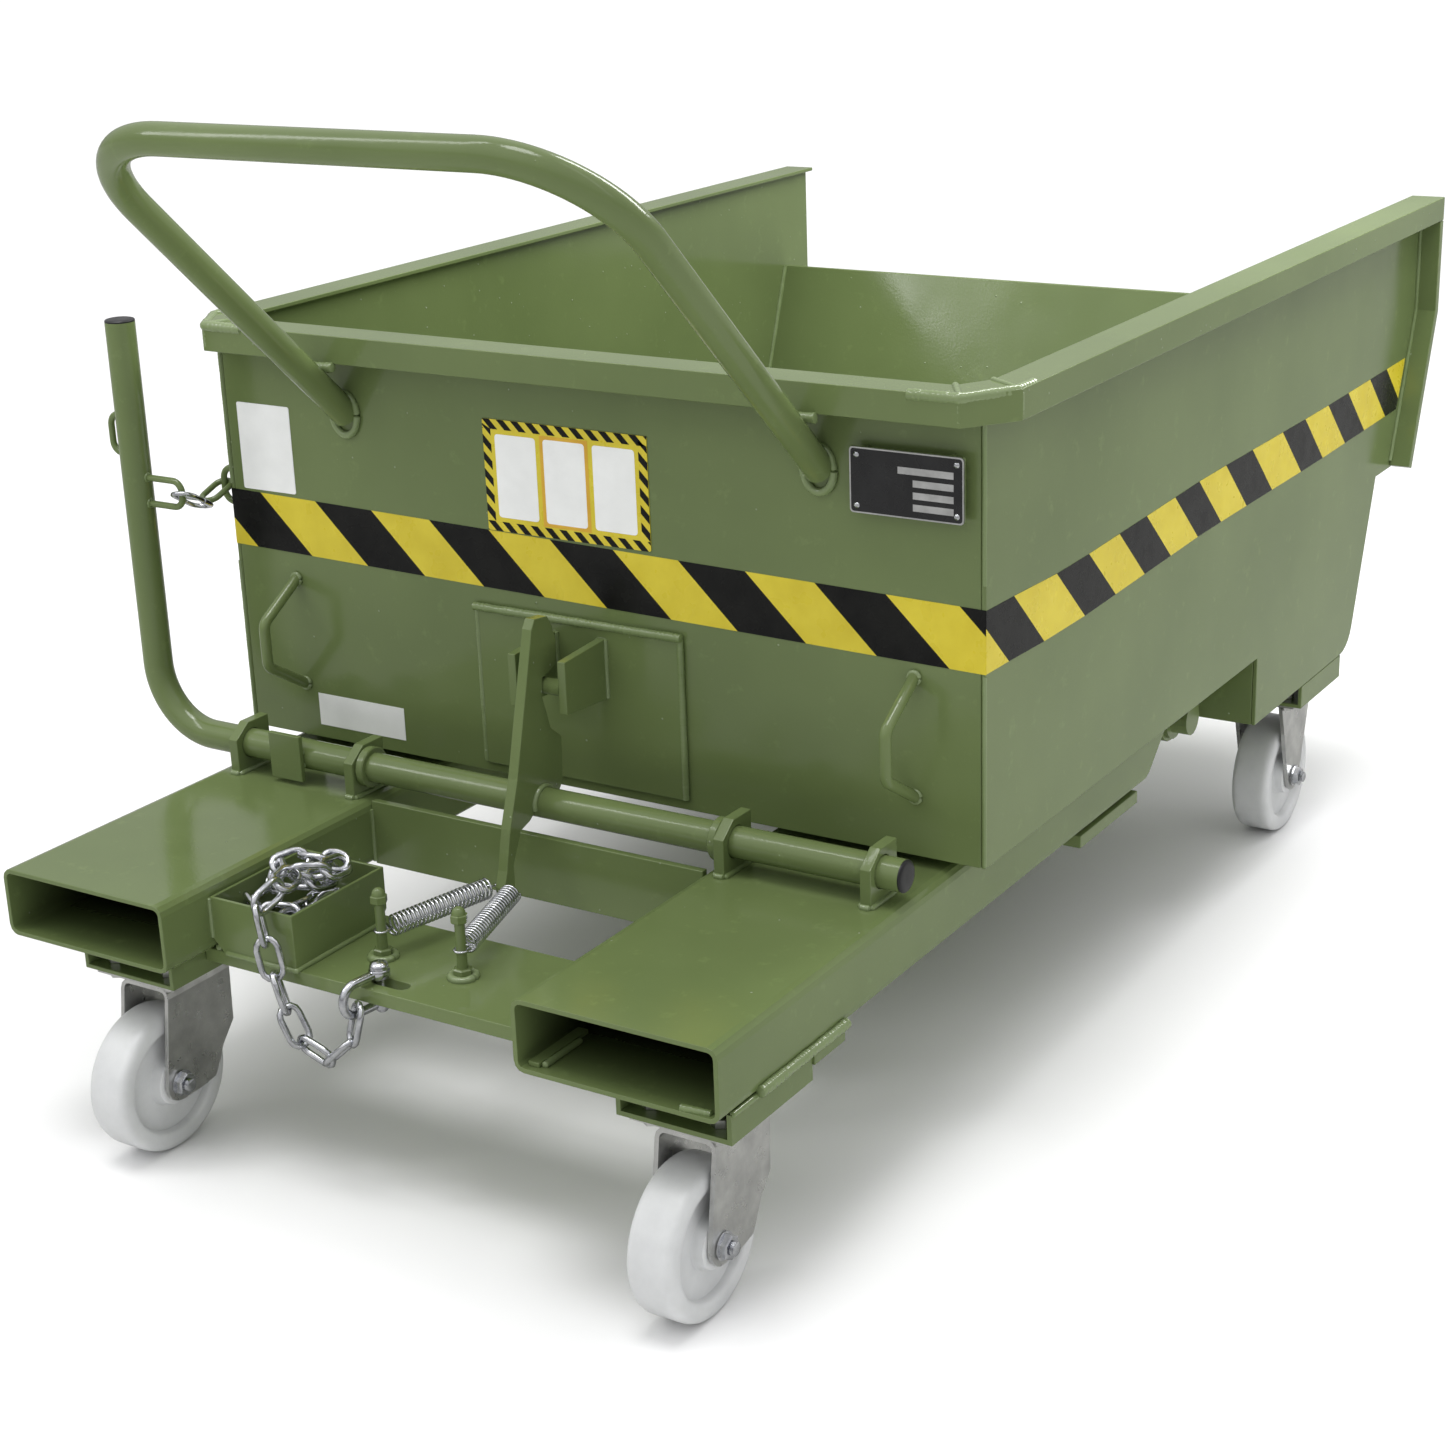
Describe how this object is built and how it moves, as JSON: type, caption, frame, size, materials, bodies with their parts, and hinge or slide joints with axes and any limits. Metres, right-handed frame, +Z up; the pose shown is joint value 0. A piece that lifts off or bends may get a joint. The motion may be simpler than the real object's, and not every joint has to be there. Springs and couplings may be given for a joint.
{
  "type": "tipping skip dumpster",
  "caption": "Steel tipping skip on castors with forklift pockets, a lever latch, a push handle and a hazard-taped rim.",
  "frame": {"origin": "on the floor under the middle of the part's bounding box", "axes": "+Z up; +Y runs from the push handle to the lip that the load leaves over; +X is to the right seen from the push handle"},
  "size_m": [0.869, 1.4305, 0.8578],
  "materials": {
    "paint": "gloss sage green paint",
    "zinc": "zinc plated steel",
    "nylon": "milky nylon",
    "black_plastic": "satin black",
    "plate": "dark enamel"
  },
  "bodies": {
    "base": {"castor_plate_front_left": "zinc", "castor_plate_front_right": "zinc", "chain": "zinc", "chain_box": "paint", "fork_pocket_left": "paint", "fork_pocket_right": "paint", "front_channel_left": "paint", "front_channel_right": "paint", "front_cross_plate": "paint", "latch_spring_left": "zinc", "latch_spring_right": "zinc", "pivot_tube": "paint", "rear_cross_plate": "paint", "rest_bar": "paint", "shackle": "zinc", "shackle_pin": "zinc", "shaft_bracket_1": "paint", "shaft_bracket_2": "paint", "shaft_bracket_3": "paint", "shaft_bracket_4": "paint", "spring_post_left": "paint", "spring_post_right": "paint", "upright_cross_plate": "paint"},
    "castor_front_left": {"castor_fork_front_left": "zinc", "castor_axle_front_left": "zinc"},
    "castor_front_right": {"castor_fork_front_right": "zinc", "castor_axle_front_right": "zinc"},
    "wheel_front_left": {"castor_wheel_front_left": "nylon"},
    "wheel_front_right": {"castor_wheel_front_right": "nylon"},
    "wheel_rear_left": {"castor_wheel_rear_left": "nylon"},
    "wheel_rear_right": {"castor_wheel_rear_right": "nylon"},
    "hopper": {"castor_axle_rear_left": "zinc", "castor_axle_rear_right": "zinc", "castor_fork_rear_left": "zinc", "castor_fork_rear_right": "zinc", "dump_plate": "paint", "edge_flange_left": "paint", "edge_flange_right": "paint", "floor_plate": "paint", "front_wall": "paint", "grab_handle_left": "paint", "grab_handle_right": "paint", "latch_keeper": "paint", "latch_pin": "paint", "pivot_hook_left": "paint", "pivot_hook_right": "paint", "push_handle": "paint", "rating_plate": "plate", "rear_channel_left": "paint", "rear_channel_right": "paint", "rim": "paint", "side_wall_left": "paint", "side_wall_right": "paint", "wall_loop": "paint"},
    "latch": {"latch_shaft": "paint", "latch_plate": "paint", "stop_plate": "paint", "shaft_cap": "black_plastic", "lever_cap": "black_plastic", "snap_hook": "zinc"}
  },
  "joints": [
    {"name": "hopper_tip", "type": "hinge", "parent": "base", "child": "hopper", "pos_m": [0.02554, 0.18725, 0.21], "axis": [-1, 0, 0], "range_deg": [0, 75]},
    {"name": "latch_turn", "type": "hinge", "parent": "base", "child": "latch", "pos_m": [0.02554, -0.40875, 0.27], "axis": [1, 0, 0], "range_deg": [0, 12], "deforming": ["latch_spring_left", "latch_spring_right"]},
    {"name": "swivel_front_left", "type": "hinge", "parent": "base", "child": "castor_front_left", "pos_m": [-0.21246, -0.61475, 0.15], "axis": [0, 0, 1], "continuous": true},
    {"name": "swivel_front_right", "type": "hinge", "parent": "base", "child": "castor_front_right", "pos_m": [0.32754, -0.61475, 0.15], "axis": [0, 0, 1], "continuous": true},
    {"name": "wheel_spin_front_left", "type": "hinge", "parent": "castor_front_left", "child": "wheel_front_left", "pos_m": [-0.21246, -0.65275, 0.0625], "axis": [1, 0, 0], "continuous": true},
    {"name": "wheel_spin_front_right", "type": "hinge", "parent": "castor_front_right", "child": "wheel_front_right", "pos_m": [0.32754, -0.65275, 0.0625], "axis": [1, 0, 0], "continuous": true},
    {"name": "wheel_spin_rear_left", "type": "hinge", "parent": "hopper", "child": "wheel_rear_left", "pos_m": [-0.30846, 0.45325, 0.0625], "axis": [1, 0, 0], "continuous": true},
    {"name": "wheel_spin_rear_right", "type": "hinge", "parent": "hopper", "child": "wheel_rear_right", "pos_m": [0.35954, 0.45325, 0.0625], "axis": [1, 0, 0], "continuous": true}
  ]
}
